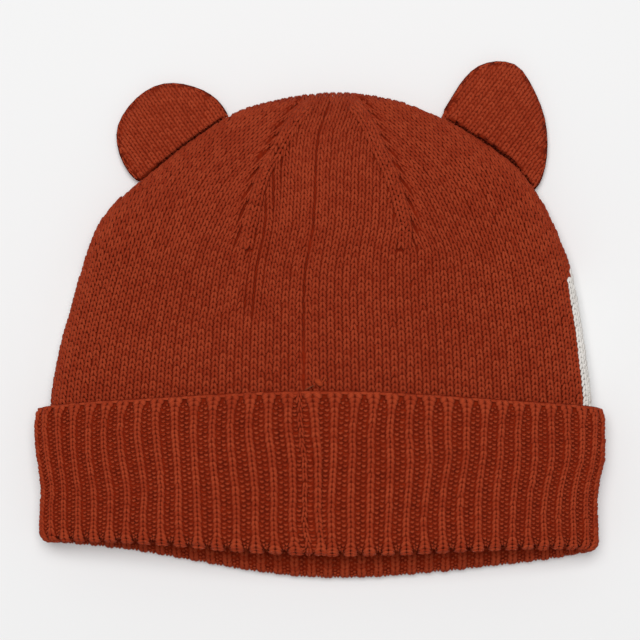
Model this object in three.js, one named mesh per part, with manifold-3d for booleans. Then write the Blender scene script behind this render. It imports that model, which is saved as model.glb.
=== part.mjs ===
// A baby's knitted hat with two ears, lying on its front with the back upwards.
// The crown is a dome of plain knit, sewn up the middle of the back, with a decrease line to each
// side of the seam. Its ribbed band is turned up into a cuff. The ears are padded and sewn to the
// folds at the top, and a cream panel is knitted in at each side of the front.
// Millimetres. X runs across the hat, Y from its mouth to its top, Z up from the surface it lies on.
import * as THREE from "three";
import { mergeVertices } from "three/addons/utils/BufferGeometryUtils.js";
import Module from "manifold-3d";

// Crown
const CROWN_WIDTH = 180.6; // flat width beside the cuff's edge
const CROWN_HEIGHT = 102.4; // from the cuff's edge to the top
const CROWN_THICKNESS = 34; // from the surface to the highest part of the back
const FOLD_HEIGHT = 9; // of the side folds above the surface
const CROWN_WALL = 3; // plain knit
const CROWN_TUCK = 6; // how far the plain knit goes down inside the cuff
const SEAM_DEPTH = 0.9; // groove of the back seam
const DART_DEPTH = 1.5; // groove of a decrease line at its deepest
const GROOVE_SPREAD = 3; // degrees of turn from a groove's bottom to its edge

// Cuff
const CUFF_HEIGHT = 50; // turned-up band at the side of the hat
const BAND_WALL = 3; // inner layer of the band
const CUFF_WALL = 3.6; // outer layer, over its ribs
const LAYER_GAP = 0.6; // between the two layers
const RIB_COUNT = 70; // once round the hat
const RIB_DEPTH = 1.1;
const EDGE_ROUNDING = 1.2; // of the cuff's free edge

// Ears
const EAR_LENGTH = 23.4; // from the crown's fold to the tip of the left ear
const EAR_WIDTH = 38.4; // along the crown's fold
const EAR_THICKNESS = 9.6;
const EAR_ROOT = 7; // how far the ear's outline runs in under the crown before it is trimmed

// Cream panels
const PANEL_HEIGHT = 42; // above the cuff's edge
const PANEL_WIDTH = 52; // on the front, at the cuff
const PANEL_SHOWS = 3.4; // of the right panel on the back, past the fold

// Room between pieces that meet
const CLEARANCE = 0.3;

// Fineness of the faceted surface
const CROWN_COLUMNS = 56;
const CROWN_RINGS = 16;
const POINTS_PER_RIB = 4;

const CUFF_STACK = LAYER_GAP + CUFF_WALL; // what the outer layer adds to the body's surface
const DEGREE = Math.PI / 180;

// The body's outer surface as sections across the hat. rise is a share of the zone's height.
// left and right are shares of half the crown's width, and sway is the same share that the middle
// of the back lies to the right. top is a share of the thickness, edge of the fold's height, and
// under of the cuff's outer layer, which lifts the body off the surface.
const CUFF_ROWS = [
  { rise: -0.2, left: 0.985, right: 0.98, sway: 0.026, top: 0.65, edge: 1.36, under: 1 },
  { rise: 0.0, left: 0.991, right: 0.985, sway: 0.026, top: 0.69, edge: 1.36, under: 1 },
  { rise: 0.24, left: 0.987, right: 0.976, sway: 0.026, top: 0.76, edge: 1.36, under: 1 },
  { rise: 0.42, left: 0.98, right: 0.978, sway: 0.026, top: 0.81, edge: 1.36, under: 1 },
  { rise: 0.64, left: 1.001, right: 1.006, sway: 0.026, top: 0.86, edge: 1.35, under: 1 },
  { rise: 0.82, left: 1.008, right: 1.003, sway: 0.026, top: 0.895, edge: 1.33, under: 1 },
];
const CROWN_ROWS = [
  { rise: 0.0, left: 0.997, right: 1.006, sway: 0.026, top: 0.93, edge: 1.26, under: 1 },
  { rise: 0.13, left: 0.971, right: 0.988, sway: 0.022, top: 0.98, edge: 1.08, under: 0.3 },
  { rise: 0.23, left: 0.945, right: 0.973, sway: 0.018, top: 0.995, edge: 1.02, under: 0 },
  { rise: 0.33, left: 0.914, right: 0.953, sway: 0.016, top: 1.0, edge: 1.0, under: 0 },
  { rise: 0.42, left: 0.883, right: 0.934, sway: 0.014, top: 1.0, edge: 1.0, under: 0 },
  { rise: 0.52, left: 0.849, right: 0.892, sway: 0.012, top: 0.98, edge: 1.0, under: 0 },
  { rise: 0.59, left: 0.81, right: 0.855, sway: 0.006, top: 0.945, edge: 0.98, under: 0 },
  { rise: 0.65, left: 0.757, right: 0.82, sway: 0.0, top: 0.905, edge: 0.96, under: 0 },
  { rise: 0.715, left: 0.656, right: 0.774, sway: -0.033, top: 0.85, edge: 0.94, under: 0 },
  { rise: 0.78, left: 0.569, right: 0.706, sway: -0.045, top: 0.77, edge: 0.9, under: 0 },
  { rise: 0.845, left: 0.477, right: 0.598, sway: -0.036, top: 0.665, edge: 0.86, under: 0 },
  { rise: 0.91, left: 0.368, right: 0.476, sway: -0.018, top: 0.53, edge: 0.82, under: 0 },
  { rise: 0.95, left: 0.285, right: 0.377, sway: -0.01, top: 0.43, edge: 0.78, under: 0 },
  { rise: 0.977, left: 0.184, right: 0.286, sway: 0.0, top: 0.35, edge: 0.75, under: 0 },
  { rise: 0.993, left: 0.07, right: 0.192, sway: 0.0, top: 0.27, edge: 0.73, under: 0 },
  { rise: 1.0, left: -0.064, right: 0.064, sway: 0.0, top: 0.2, edge: 0.72, under: 0 },
];

// The cuff's folded rim and free edge round the hat, as shares of the cuff's height. turn 0 is the
// right fold, 90 the middle of the back, 180 the left fold and 270 the middle of the front.
const RIM_ROWS = [
  { turn: 0, rim: -0.006, free: 0.95 },
  { turn: 45, rim: 0.02, free: 1.015 },
  { turn: 90, rim: -0.014, free: 1.087 },
  { turn: 135, rim: 0.062, free: 1.025 },
  { turn: 180, rim: 0.054, free: 0.95 },
  { turn: 225, rim: 0.01, free: 0.92 },
  { turn: 270, rim: -0.196, free: 0.86 },
  { turn: 315, rim: -0.07, free: 0.9 },
];

// Grooves that run up the back to the top. foot is where one begins, as a share of the crown, and
// depth is its deepest.
const GROOVES = [
  { turn: 69.5, foot: 0.46, depth: DART_DEPTH },
  { turn: 93.5, foot: -0.1, depth: SEAM_DEPTH },
  { turn: 112, foot: 0.46, depth: DART_DEPTH },
];

// Soft hollows of the back: across and along as shares of half the width and of the crown,
// wide and long as the same shares, and deep as a share of the thickness.
const DENTS = [
  { across: -0.27, along: 0.38, wide: 0.09, long: 0.2, deep: 0.07 },
  { across: -0.52, along: 0.66, wide: 0.2, long: 0.14, deep: 0.035 },
  { across: 0.66, along: 0.2, wide: 0.12, long: 0.16, deep: 0.05 },
  { across: 0.36, along: 0.62, wide: 0.12, long: 0.12, deep: 0.035 },
  { across: -0.55, along: 0.12, wide: 0.16, long: 0.12, deep: 0.03 },
];

// A value of a table between its rows, on a Catmull-Rom curve through them.
function along(rows, key, place, turns = false) {
  const count = rows.length;
  const start = Math.floor(place);
  const part = place - start;
  const at = (k) => {
    if (turns) return rows[((k % count) + count) % count][key];
    return rows[Math.min(Math.max(k, 0), count - 1)][key];
  };
  const [a, b, c, d] = [at(start - 1), at(start), at(start + 1), at(start + 2)];
  const bend = 2 * b + (c - a) * part + (2 * a - 5 * b + 4 * c - d) * part ** 2;
  return (bend + (3 * b - a - 3 * c + d) * part ** 3) / 2;
}

const HALF_WIDTH = CROWN_WIDTH / 2;
const BODY_ROWS = [
  ...CUFF_ROWS.map((row) => ({ ...row, y: row.rise * CUFF_HEIGHT })),
  ...CROWN_ROWS.map((row) => ({ ...row, y: CUFF_HEIGHT + row.rise * CROWN_HEIGHT })),
];
const LAST_ROW = BODY_ROWS.length - 1;

// The place in BODY_ROWS of a height y.
function placeOf(y) {
  let low = 0;
  let high = LAST_ROW;
  for (let step = 0; step < 40; step += 1) {
    const middle = (low + high) / 2;
    if (along(BODY_ROWS, "y", middle) < y) low = middle;
    else high = middle;
  }
  return low;
}

const rimAt = (turn) => CUFF_HEIGHT * along(RIM_ROWS, "rim", turn / 45, true);
const freeAt = (turn) => CUFF_HEIGHT * along(RIM_ROWS, "free", turn / 45, true);

// How far a point of the back is pressed in by the grooves and the hollows.
function pressed(turn, x, y) {
  const rise = (y - CUFF_HEIGHT) / CROWN_HEIGHT;
  let depth = 0;
  for (const groove of GROOVES) {
    const near = Math.max(0, 1 - Math.abs(turn - groove.turn) / GROOVE_SPREAD);
    const ramp = THREE.MathUtils.smoothstep(rise, groove.foot, groove.foot + 0.15);
    depth += groove.depth * near * ramp * THREE.MathUtils.smoothstep(1 - rise, 0, 0.12);
  }
  for (const dent of DENTS) {
    const u = (x / HALF_WIDTH - dent.across) / dent.wide;
    const v = (rise - dent.along) / dent.long;
    depth += dent.deep * CROWN_THICKNESS * Math.exp(-(u * u) - v * v);
  }
  return depth;
}

// The body's outer surface. The back is domed, and the front is flat where it lies.
const BACK_SWELL = 0.92; // under 1 makes the back fuller towards its folds
const FRONT_SQUARE = 16; // the larger, the tighter the front's turn into its folds
const FRONT_PRESS = 1.05; // over 1 presses more of the front flat
function bodyPoint(place, turn) {
  const value = (key) => along(BODY_ROWS, key, place);
  const across = Math.cos(turn * DEGREE);
  const up = Math.sin(turn * DEGREE);
  const left = value("left") * HALF_WIDTH;
  const right = value("right") * HALF_WIDTH;
  const half = Math.max(0, (left + right) / 2);
  const y = value("y");
  const edge = value("edge") * FOLD_HEIGHT;
  let x = (right - left) / 2 + half * across;
  if (up < 0) {
    const under = Math.max(0, value("under")) * CUFF_STACK;
    const bend = Math.sqrt(1 - Math.abs(across) ** FRONT_SQUARE);
    return new THREE.Vector3(x, y, edge - (edge - under) * Math.min(1, FRONT_PRESS * bend));
  }
  x += value("sway") * HALF_WIDTH * up ** 2;
  const top = Math.max(edge, value("top") * CROWN_THICKNESS);
  return new THREE.Vector3(x, y, edge + (top - edge) * up ** BACK_SWELL - up * pressed(turn, x, y));
}

// The same surface moved out by offset, or in if it is negative.
function bodySkin(place, turn, offset) {
  const point = bodyPoint(place, turn);
  if (place >= LAST_ROW) return point.add(new THREE.Vector3(0, offset, 0));
  const step = 0.02;
  const turnStep = 0.5;
  const below = bodyPoint(Math.max(0, place - step), turn);
  const above = bodyPoint(Math.min(LAST_ROW, place + step), turn);
  const before = bodyPoint(place, turn - turnStep);
  const after = bodyPoint(place, turn + turnStep);
  const normal = above.sub(below).cross(after.sub(before)).normalize();
  return point.addScaledVector(normal, offset);
}

// Turns spread by length round a ring beside the cuff's edge, closer together on the folds.
const REFERENCE = CUFF_ROWS.length;
function spreadTurns(count, foldWeight, start = 0) {
  const samples = 720;
  const lengths = [0];
  const heading = (k) => {
    const from = bodyPoint(REFERENCE, ((k - 1) * 360) / samples);
    const to = bodyPoint(REFERENCE, (k * 360) / samples);
    return to.sub(from);
  };
  for (let k = 1; k <= samples; k += 1) {
    const step = heading(k);
    const turned = step.angleTo(heading(k + 1));
    lengths.push(lengths[k - 1] + step.length() + foldWeight * turned);
  }
  const whole = lengths[samples];
  return Array.from({ length: count }, (_, j) => {
    const target = (((j + start) / count) % 1) * whole;
    const k = lengths.findIndex((length) => length > target);
    const part = (target - lengths[k - 1]) / (lengths[k] - lengths[k - 1]);
    return ((k - 1 + part) * 360) / samples;
  });
}

// A closed surface through rings of equal count. It closes on a point at each end, or where
// there are no ends, the last ring joins the first.
function loft(rings, ends) {
  const count = rings[0].length;
  const points = rings.flat();
  const faces = [];
  const quad = (a, b, c, d) => faces.push(a, b, c, a, c, d);
  const spans = ends ? rings.length - 1 : rings.length;
  for (let i = 0; i < spans; i += 1) {
    const next = (i + 1) % rings.length;
    for (let j = 0; j < count; j += 1) {
      const k = (j + 1) % count;
      quad(i * count + j, next * count + j, next * count + k, i * count + k);
    }
  }
  if (ends) {
    const first = points.push(ends[0]) - 1;
    const last = points.push(ends[1]) - 1;
    const final = (rings.length - 1) * count;
    for (let j = 0; j < count; j += 1) {
      const k = (j + 1) % count;
      faces.push(first, j, k, last, final + k, final + j);
    }
  }
  const geometry = new THREE.BufferGeometry().setFromPoints(points);
  return geometry.setIndex(faces);
}

// manifold-3d joins and cuts.
const wasm = await Module();
wasm.setup();

function solidOf(geometry) {
  const bare = geometry.clone();
  bare.deleteAttribute("normal");
  bare.deleteAttribute("uv");
  const merged = mergeVertices(bare, 1e-4);
  return new wasm.Manifold(
    new wasm.Mesh({
      numProp: 3,
      vertProperties: merged.attributes.position.array,
      triVerts: new Uint32Array(merged.index.array),
    }),
  );
}

function geometryOf(solid) {
  const mesh = solid.getMesh();
  const places = new Float32Array(mesh.numVert * 3);
  for (let i = 0; i < mesh.numVert; i += 1) {
    const from = i * mesh.numProp;
    places.set(mesh.vertProperties.subarray(from, from + 3), i * 3);
  }
  const geometry = new THREE.BufferGeometry();
  geometry.setAttribute("position", new THREE.BufferAttribute(places, 3));
  geometry.setIndex(new THREE.BufferAttribute(mesh.triVerts, 1));
  return geometry;
}

// Crown: a hollow dome whose rim is tucked into the cuff.
const BEND_WEIGHT = 10; // draws the crown's columns to the folds
function crownTurns() {
  const turns = spreadTurns(CROWN_COLUMNS, BEND_WEIGHT);
  // Each groove takes the three nearest columns: its two edges and its bottom.
  for (const groove of GROOVES) {
    const nearest = turns
      .map((turn, j) => ({ j, away: Math.abs(turn - groove.turn) }))
      .sort((a, b) => a.away - b.away)[0].j;
    turns[nearest - 1] = groove.turn - GROOVE_SPREAD;
    turns[nearest] = groove.turn;
    turns[nearest + 1] = groove.turn + GROOVE_SPREAD;
  }
  return turns;
}

function crownRings(offset, turns) {
  const foot = turns.map((turn) => placeOf(freeAt(turn) - CROWN_TUCK));
  return Array.from({ length: CROWN_RINGS }, (_, i) => {
    const share = i / CROWN_RINGS;
    return turns.map((turn, j) => {
      const place = THREE.MathUtils.lerp(foot[j], LAST_ROW, share);
      return bodySkin(place, turn, offset);
    });
  });
}

const topOf = (offset) => bodySkin(LAST_ROW, 90, offset);

function crownShell() {
  const turns = crownTurns();
  const inside = crownRings(-CROWN_WALL, turns).reverse();
  const outside = crownRings(0, turns);
  return solidOf(loft([...inside, ...outside], [topOf(-CROWN_WALL), topOf(0)]));
}

// The crown without its hollow, a clearance larger, to trim what is sewn to it.
function crownEnvelope() {
  const rings = crownRings(CLEARANCE, crownTurns());
  const foot = rings[0].reduce((sum, p) => sum.add(p), new THREE.Vector3());
  return solidOf(loft(rings, [foot.divideScalar(rings[0].length), topOf(CLEARANCE)]));
}

// Cuff: the band runs down inside, folds at the rim and comes up outside to its free edge. The
// slot between its two layers closes towards the fold.
const PINCH = 0.38; // levels of the cuff where it is narrowest and widest
const BULGE = 0.72;
function cuffShell() {
  const turns = spreadTurns(RIB_COUNT * POINTS_PER_RIB, 0, 0.5);
  const fold = (BAND_WALL + CUFF_STACK) / 2;
  // Where a rib's valley is, 1, and where its ridge is, 0.
  const valley = (j) => (j % POINTS_PER_RIB < POINTS_PER_RIB / 2 ? 0 : 1);
  const ring = (offset, height, ribs, rimRibs = 0) =>
    turns.map((turn, j) => {
      const y = height(turn) + rimRibs * RIB_DEPTH * valley(j);
      return bodySkin(placeOf(y), turn, offset + ribs * RIB_DEPTH * valley(j));
    });
  const joint = (turn) => freeAt(turn) - CROWN_TUCK - CLEARANCE;
  const rim = (turn) => rimAt(turn) + fold;
  const level = (share) => (turn) => THREE.MathUtils.lerp(rimAt(turn), freeAt(turn), share);
  const shoulder = (turn) => freeAt(turn) - EDGE_ROUNDING;
  return solidOf(
    loft([
      ring(-BAND_WALL, joint, 1),
      ring(-BAND_WALL, rim, 1),
      ring((CUFF_STACK - BAND_WALL) / 2, rimAt, 0, 1),
      ring(CUFF_STACK, rim, -1),
      ring(CUFF_STACK, level(PINCH), -1),
      ring(CUFF_STACK, level(BULGE), -1),
      ring(CUFF_STACK, shoulder, -1),
      ring(LAYER_GAP, freeAt, 0),
      ring(LAYER_GAP, joint, 0),
      ring(LAYER_GAP / 2, rim, 0),
      ring(0, joint, 0),
    ]),
  );
}

// Ears: padded pouches. at is the middle of the seam on the crown's fold and lean the way the
// ear points, both in the hat's own axes. along and out are shares of the ear's size.
const EARS = {
  left: {
    at: { across: -0.496, rise: 0.818 },
    lean: 126.5,
    outline: [
      { along: -0.98, out: 0.0 },
      { along: -1.03, out: 0.23 },
      { along: -0.95, out: 0.55 },
      { along: -0.72, out: 0.83 },
      { along: -0.3, out: 0.98 },
      { along: 0.16, out: 0.99 },
      { along: 0.52, out: 0.85 },
      { along: 0.81, out: 0.57 },
      { along: 0.94, out: 0.29 },
      { along: 0.93, out: 0.0 },
    ],
  },
  right: {
    at: { across: 0.624, rise: 0.809 },
    lean: 52,
    outline: [
      { along: -1.02, out: 0.0 },
      { along: -1.07, out: 0.3 },
      { along: -1.1, out: 0.6 },
      { along: -1.04, out: 0.88 },
      { along: -0.82, out: 1.11 },
      { along: -0.49, out: 1.22 },
      { along: -0.05, out: 1.1 },
      { along: 0.4, out: 0.88 },
      { along: 0.75, out: 0.58 },
      { along: 0.97, out: 0.27 },
      { along: 1.04, out: 0.0 },
    ],
  },
};
const EAR_POINTS = 28; // round the outline
const EAR_LAYERS = 4; // from the seam round the ear to the middle of a side
const EAR_FULLNESS = 0.55; // the smaller, the squarer the padding's edge
const EAR_PRESS = 0.45; // share of the thickness under the seam, where the ear lies
function earSolid({ at, lean, outline }) {
  const out = new THREE.Vector2(Math.cos(lean * DEGREE), Math.sin(lean * DEGREE));
  const side = new THREE.Vector2(out.y, -out.x);
  const seat = new THREE.Vector2(at.across * HALF_WIDTH, CUFF_HEIGHT + at.rise * CROWN_HEIGHT);
  const root = { along: 0.9, out: -EAR_ROOT / EAR_LENGTH };
  const rows = [{ ...root, along: -root.along }, ...outline, root];
  const rim = Array.from({ length: EAR_POINTS }, (_, k) => {
    const place = (k / (EAR_POINTS - 1)) * (rows.length - 1);
    const width = (along(rows, "along", place) * EAR_WIDTH) / 2;
    const length = along(rows, "out", place) * EAR_LENGTH;
    return seat.clone().addScaledVector(side, width).addScaledVector(out, length);
  });
  const middle = rim.reduce((sum, p) => sum.add(p), new THREE.Vector2());
  middle.divideScalar(EAR_POINTS);
  const below = EAR_THICKNESS * EAR_PRESS;
  const layer = (share, thickness) =>
    rim.map((p) => {
      const q = middle.clone().lerp(p, share);
      const swell = (1 - share ** 2) ** EAR_FULLNESS;
      return new THREE.Vector3(q.x, q.y, Math.max(0, below + thickness * swell));
    });
  const shares = Array.from({ length: EAR_LAYERS - 1 }, (_, k) =>
    Math.sin(((k + 1) / EAR_LAYERS) * (Math.PI / 2)),
  );
  const rings = [
    ...shares.map((share) => layer(share, -below * 1.05)),
    layer(1, 0),
    ...shares.map((share) => layer(share, EAR_THICKNESS - below)).reverse(),
  ];
  const pole = (z) => new THREE.Vector3(middle.x, middle.y, z);
  return solidOf(loft(rings, [pole(0), pole(EAR_THICKNESS)]));
}

// Cream panels: the part of the crown's wall inside an outline. shows is how much of one is past
// the fold, on the back. The outline's rows are shares of the panel's height and width.
const PANEL_ROWS = [
  { rise: -0.45, front: 1.0, back: 0.8 },
  { rise: 0.0, front: 1.0, back: 0.8 },
  { rise: 0.25, front: 0.97, back: 0.9 },
  { rise: 0.5, front: 0.86, back: 1.0 },
  { rise: 0.75, front: 0.62, back: 0.7 },
  { rise: 0.92, front: 0.32, back: 0.3 },
  { rise: 1.0, front: 0.08, back: 0.0 },
];
const PANEL_TOP = 0.6; // level of a panel's edge under the fold, as a share of the fold's height
const PANEL_STEPS = 14;
const PANEL_DEEP = 2 * CROWN_THICKNESS; // more than the hat's own thickness
function panelRegion(side, shows, grow) {
  const foldX = (y) => {
    const key = side > 0 ? "right" : "left";
    return along(BODY_ROWS, key, placeOf(y)) * HALF_WIDTH;
  };
  const outside = CROWN_WIDTH;
  const block = (key, width, floor, ceiling) => {
    const shape = new THREE.Shape();
    const line = Array.from({ length: PANEL_STEPS + 1 }, (_, k) => {
      const place = (k / PANEL_STEPS) * (PANEL_ROWS.length - 1);
      const y = CUFF_HEIGHT + along(PANEL_ROWS, "rise", place) * PANEL_HEIGHT;
      const inward = Math.max(0, along(PANEL_ROWS, key, place)) * width;
      return [side * (foldX(y) - inward - grow), y + grow];
    });
    shape.moveTo(side * outside, line[0][1] - CUFF_HEIGHT);
    shape.lineTo(line[0][0], line[0][1] - CUFF_HEIGHT);
    line.forEach(([x, y]) => shape.lineTo(x, y));
    shape.lineTo(side * outside, line.at(-1)[1]);
    const made = new THREE.ExtrudeGeometry(shape, {
      depth: ceiling - floor,
      bevelEnabled: false,
    });
    return solidOf(made.translate(0, 0, floor));
  };
  const front = block("front", PANEL_WIDTH, -PANEL_DEEP, FOLD_HEIGHT * PANEL_TOP);
  if (shows <= 0) return front;
  return front.add(block("back", shows, -PANEL_DEEP, PANEL_DEEP));
}

const finishes = {
  rust: new THREE.MeshStandardMaterial({ color: 0x9a3b20, roughness: 0.95, metalness: 0 }),
  ribbed: new THREE.MeshStandardMaterial({ color: 0x93371d, roughness: 0.95, metalness: 0 }),
  cream: new THREE.MeshStandardMaterial({ color: 0xddd6cf, roughness: 0.95, metalness: 0 }),
};

const hat = new THREE.Group();
function place(name, solid, finish) {
  const mesh = new THREE.Mesh(geometryOf(solid), finishes[finish]);
  mesh.name = name;
  hat.add(mesh);
}

const shell = crownShell();
const envelope = crownEnvelope();
const cut = (side, shows) => panelRegion(side, shows, CLEARANCE);
const crown = shell.subtract(cut(1, PANEL_SHOWS)).subtract(cut(-1, 0));

place("crown", crown, "rust");
place("cuff", cuffShell(), "ribbed");
place("ear_left", earSolid(EARS.left).subtract(envelope), "rust");
place("ear_right", earSolid(EARS.right).subtract(envelope), "rust");
place("cream_panel_left", shell.intersect(panelRegion(-1, 0, 0)), "cream");
place("cream_panel_right", shell.intersect(panelRegion(1, PANEL_SHOWS, 0)), "cream");

// The origin is under the middle of the whole hat, on the surface that it lies on.
const box = new THREE.Box3().setFromObject(hat);
const middle = box.getCenter(new THREE.Vector3());
hat.position.set(-middle.x, -middle.y, -box.min.z);

export default hat;
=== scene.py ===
"""A baby's knitted hat with two ears, lying on its front with the back upwards."""

import math

import bmesh
import bpy
import numpy as np
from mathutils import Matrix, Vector
from mathutils.bvhtree import BVHTree


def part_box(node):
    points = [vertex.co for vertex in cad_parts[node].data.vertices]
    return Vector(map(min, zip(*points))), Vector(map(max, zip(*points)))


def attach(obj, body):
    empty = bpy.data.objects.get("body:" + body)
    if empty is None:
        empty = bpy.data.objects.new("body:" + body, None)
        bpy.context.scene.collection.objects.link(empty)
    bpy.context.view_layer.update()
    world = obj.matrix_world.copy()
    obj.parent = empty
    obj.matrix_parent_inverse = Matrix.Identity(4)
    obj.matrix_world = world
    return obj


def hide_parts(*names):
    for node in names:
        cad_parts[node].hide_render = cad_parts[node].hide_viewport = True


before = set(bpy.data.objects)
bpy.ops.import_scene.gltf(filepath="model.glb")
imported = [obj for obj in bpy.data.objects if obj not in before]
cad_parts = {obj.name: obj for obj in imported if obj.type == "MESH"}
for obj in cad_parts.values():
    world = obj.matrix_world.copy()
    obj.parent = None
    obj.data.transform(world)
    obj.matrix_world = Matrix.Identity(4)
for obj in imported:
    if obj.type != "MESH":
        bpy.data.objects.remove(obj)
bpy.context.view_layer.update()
MM = 0.001

# Crown, its form. The real crown is one plain-knit cotton tube, narrowed towards the top and sewn
# up the middle of the back. Lying down, its back is a low dome, and its front is pressed flat.
# The form is read from the frame's own crown, level by level from the cuff's edge to the top.
BACK_FULLNESS = 0.46  # of a section's upper half; 0.5 is an ellipse
FRONT_SQUARENESS = 16  # the larger, the tighter the front's turn into its folds
FRONT_PRESS = 1.05  # over 1 presses more of the front flat
FORM_START = 14 * MM  # above the crown's foot, where its sections are first read
LEVEL_STEP = 1 * MM
FORM_SMOOTHING = 9  # levels taken together, which takes the facets out


def node_triangles(*names):
    """The corners of all triangles of some frame nodes."""
    found = []
    for name in names:
        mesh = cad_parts[name].data
        mesh.calc_loop_triangles()
        points = np.empty(len(mesh.vertices) * 3)
        mesh.vertices.foreach_get("co", points)
        corners = np.empty(len(mesh.loop_triangles) * 3, dtype=np.int32)
        mesh.loop_triangles.foreach_get("vertices", corners)
        found.append(points.reshape(-1, 3)[corners].reshape(-1, 3, 3))
    return np.concatenate(found)


def smoothed(values, width=FORM_SMOOTHING):
    """A running mean that keeps the slope at both ends."""
    half = width // 2
    before = 2 * values[0] - values[half:0:-1]
    after = 2 * values[-1] - values[-2 : -half - 2 : -1]
    padded = np.concatenate([before, values, after])
    return np.convolve(padded, np.ones(width) / width, "valid")


def measure_form(names, low, high):
    """The outer form's sections across the hat: middle, half width, top, fold and underside."""
    triangles = node_triangles(*names)
    start = triangles.reshape(-1, 3)
    end = triangles[:, [1, 2, 0]].reshape(-1, 3)
    levels = np.arange(low, high, LEVEL_STEP)
    rows = []
    for level in levels:
        crossing = (start[:, 1] - level) * (end[:, 1] - level) < 0
        a, b = start[crossing], end[crossing]
        share = ((level - a[:, 1]) / (b[:, 1] - a[:, 1]))[:, None]
        cut = a + (b - a) * share
        left, right = cut[cut[:, 0].argmin()], cut[cut[:, 0].argmax()]
        rows.append([left[0], right[0], (left[2] + right[2]) / 2, cut[:, 2].max(), cut[:, 2].min()])
    left, right, fold, top, under = np.array(rows).T
    fold = smoothed(fold)
    return {
        "y": levels,
        "middle": smoothed((left + right) / 2),
        "half2": smoothed(((right - left) / 2) ** 2),
        "fold": fold,
        "rise2": smoothed(np.maximum(0, top - fold) ** 2),
        "under": smoothed(under),
    }


crown_low, crown_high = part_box("crown")
CROWN_FOOT = crown_low[1]
CROWN_TOP = crown_high[1]
crown_form = measure_form(
    ["crown", "cream_panel_left", "cream_panel_right"], CROWN_FOOT + FORM_START, CROWN_TOP
)


def section(y):
    """The crown's section at a height: middle, half width, fold, rise of the back, underside."""
    def at(key):
        return np.interp(y, crown_form["y"], crown_form[key])

    half = np.sqrt(np.maximum(at("half2"), 0))
    rise = np.sqrt(np.maximum(at("rise2"), 0))
    return at("middle"), half, at("fold"), rise, at("under")


# Lines sewn or narrowed into the back, in millimetres from the middle of the hat: the two
# decrease lines and the seam between them.
SEAM_ROWS = [
    {"y": -90.0, "left": -26.5, "seam": -5.2, "right": 29.0},
    {"y": -24.3, "left": -26.5, "seam": -5.2, "right": 29.0},
    {"y": 6.5, "left": -26.3, "seam": -5.4, "right": 29.5},
    {"y": 17.0, "left": -26.2, "seam": -4.7, "right": 29.7},
    {"y": 24.3, "left": -26.1, "seam": -3.3, "right": 29.8},
    {"y": 30.8, "left": -25.0, "seam": -2.1, "right": 30.1},
    {"y": 41.6, "left": -22.5, "seam": -1.6, "right": 27.6},
    {"y": 49.3, "left": -20.2, "seam": -1.5, "right": 25.1},
    {"y": 56.7, "left": -16.0, "seam": -1.0, "right": 21.6},
    {"y": 62.1, "left": -13.4, "seam": -0.4, "right": 19.5},
    {"y": 66.5, "left": -10.9, "seam": 1.2, "right": 17.5},
    {"y": 70.7, "left": -7.8, "seam": 2.6, "right": 15.4},
    {"y": 74.7, "left": -3.6, "seam": 4.0, "right": 10.6},
    {"y": 77.0, "left": 3.0, "seam": 5.0, "right": 7.0},
]
DART_START = 24.3 * MM  # height at which the decrease lines begin
DART_EARLY = 3 * MM  # below it, where their groove begins
DART_FADE = 8 * MM  # over which the groove takes up its depth
SEAM_GROOVE = {"deep": 1.1 * MM, "wide": 1.3 * MM}
DART_GROOVE = {"deep": 2.0 * MM, "wide": 1.1 * MM, "outside": 1.1 * MM}


def seam_line(key, y):
    """The place across the hat of one of these lines at a height."""
    heights = [row["y"] * MM for row in SEAM_ROWS]
    return np.interp(y, heights, [row[key] * MM for row in SEAM_ROWS])


# Soft folds pressed into the back, as lines in millimetres from the middle of the hat.
FOLDS = [
    {
        "line": [(-13, 55), (-14.5, 47), (-15.6, 41), (-17.3, 36), (-18.9, 22.8), (-21, 13), (-23, 5)],
        "wide": 3.6,
        "deep": 3.8,
    },
    {"line": [(-21.8, 37), (-22.6, 28)], "wide": 2.2, "deep": 1.3},
]


def relief(x, y):
    """How far the back is pushed in at a place, by the seam, the decrease lines and the folds."""
    off = x - seam_line("seam", y)
    deep = SEAM_GROOVE["deep"] * np.exp(-((off / SEAM_GROOVE["wide"]) ** 2))
    started = np.clip((y - DART_START + DART_EARLY) / DART_FADE, 0, 1)
    for key, side in (("left", -1), ("right", 1)):
        off = (x - seam_line(key, y)) * side - DART_GROOVE["outside"]
        deep = deep + DART_GROOVE["deep"] * started * np.exp(-((off / DART_GROOVE["wide"]) ** 2))
    for fold in FOLDS:
        points = np.array(fold["line"]) * MM
        nearest = np.full(np.shape(x), np.inf)
        for a, b in zip(points[:-1], points[1:]):
            along = ((x - a[0]) * (b - a)[0] + (y - a[1]) * (b - a)[1]) / ((b - a) ** 2).sum()
            along = np.clip(along, 0, 1)
            gap = np.hypot(x - a[0] - along * (b - a)[0], y - a[1] - along * (b - a)[1])
            nearest = np.minimum(nearest, gap)
        deep = deep + fold["deep"] * MM * np.exp(-((nearest / (fold["wide"] * MM)) ** 2))
    return deep


def back_height(x, y):
    """The height of the back's outer surface over a place in plan."""
    middle, half, fold, rise, _ = section(y)
    across = np.clip((x - middle) / np.maximum(half, 1e-6), -1, 1)
    up = (1 - across**2) ** BACK_FULLNESS
    return fold + rise * up - relief(x, y) * np.minimum(1, 2 * up)


def front_height(x, y):
    """The height of the front's outer surface, against the table."""
    middle, half, fold, _, under = section(y)
    across = np.clip((x - middle) / np.maximum(half, 1e-6), -1, 1)
    down = np.minimum(1, FRONT_PRESS * np.sqrt(1 - np.abs(across) ** FRONT_SQUARENESS))
    return fold - (fold - under) * down


# Crown, its wall. Under the loops lies a thin cloth of the same yarn, which closes the gaps
# between them and is what shows inside the hat. Cream yarn takes over in the side panels.
LOOP_RELIEF = 0.55 * MM  # how far under the outer surface the loops are laid
WALL = 1.6 * MM
PANELS = ("cream_panel_left", "cream_panel_right")


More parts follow.
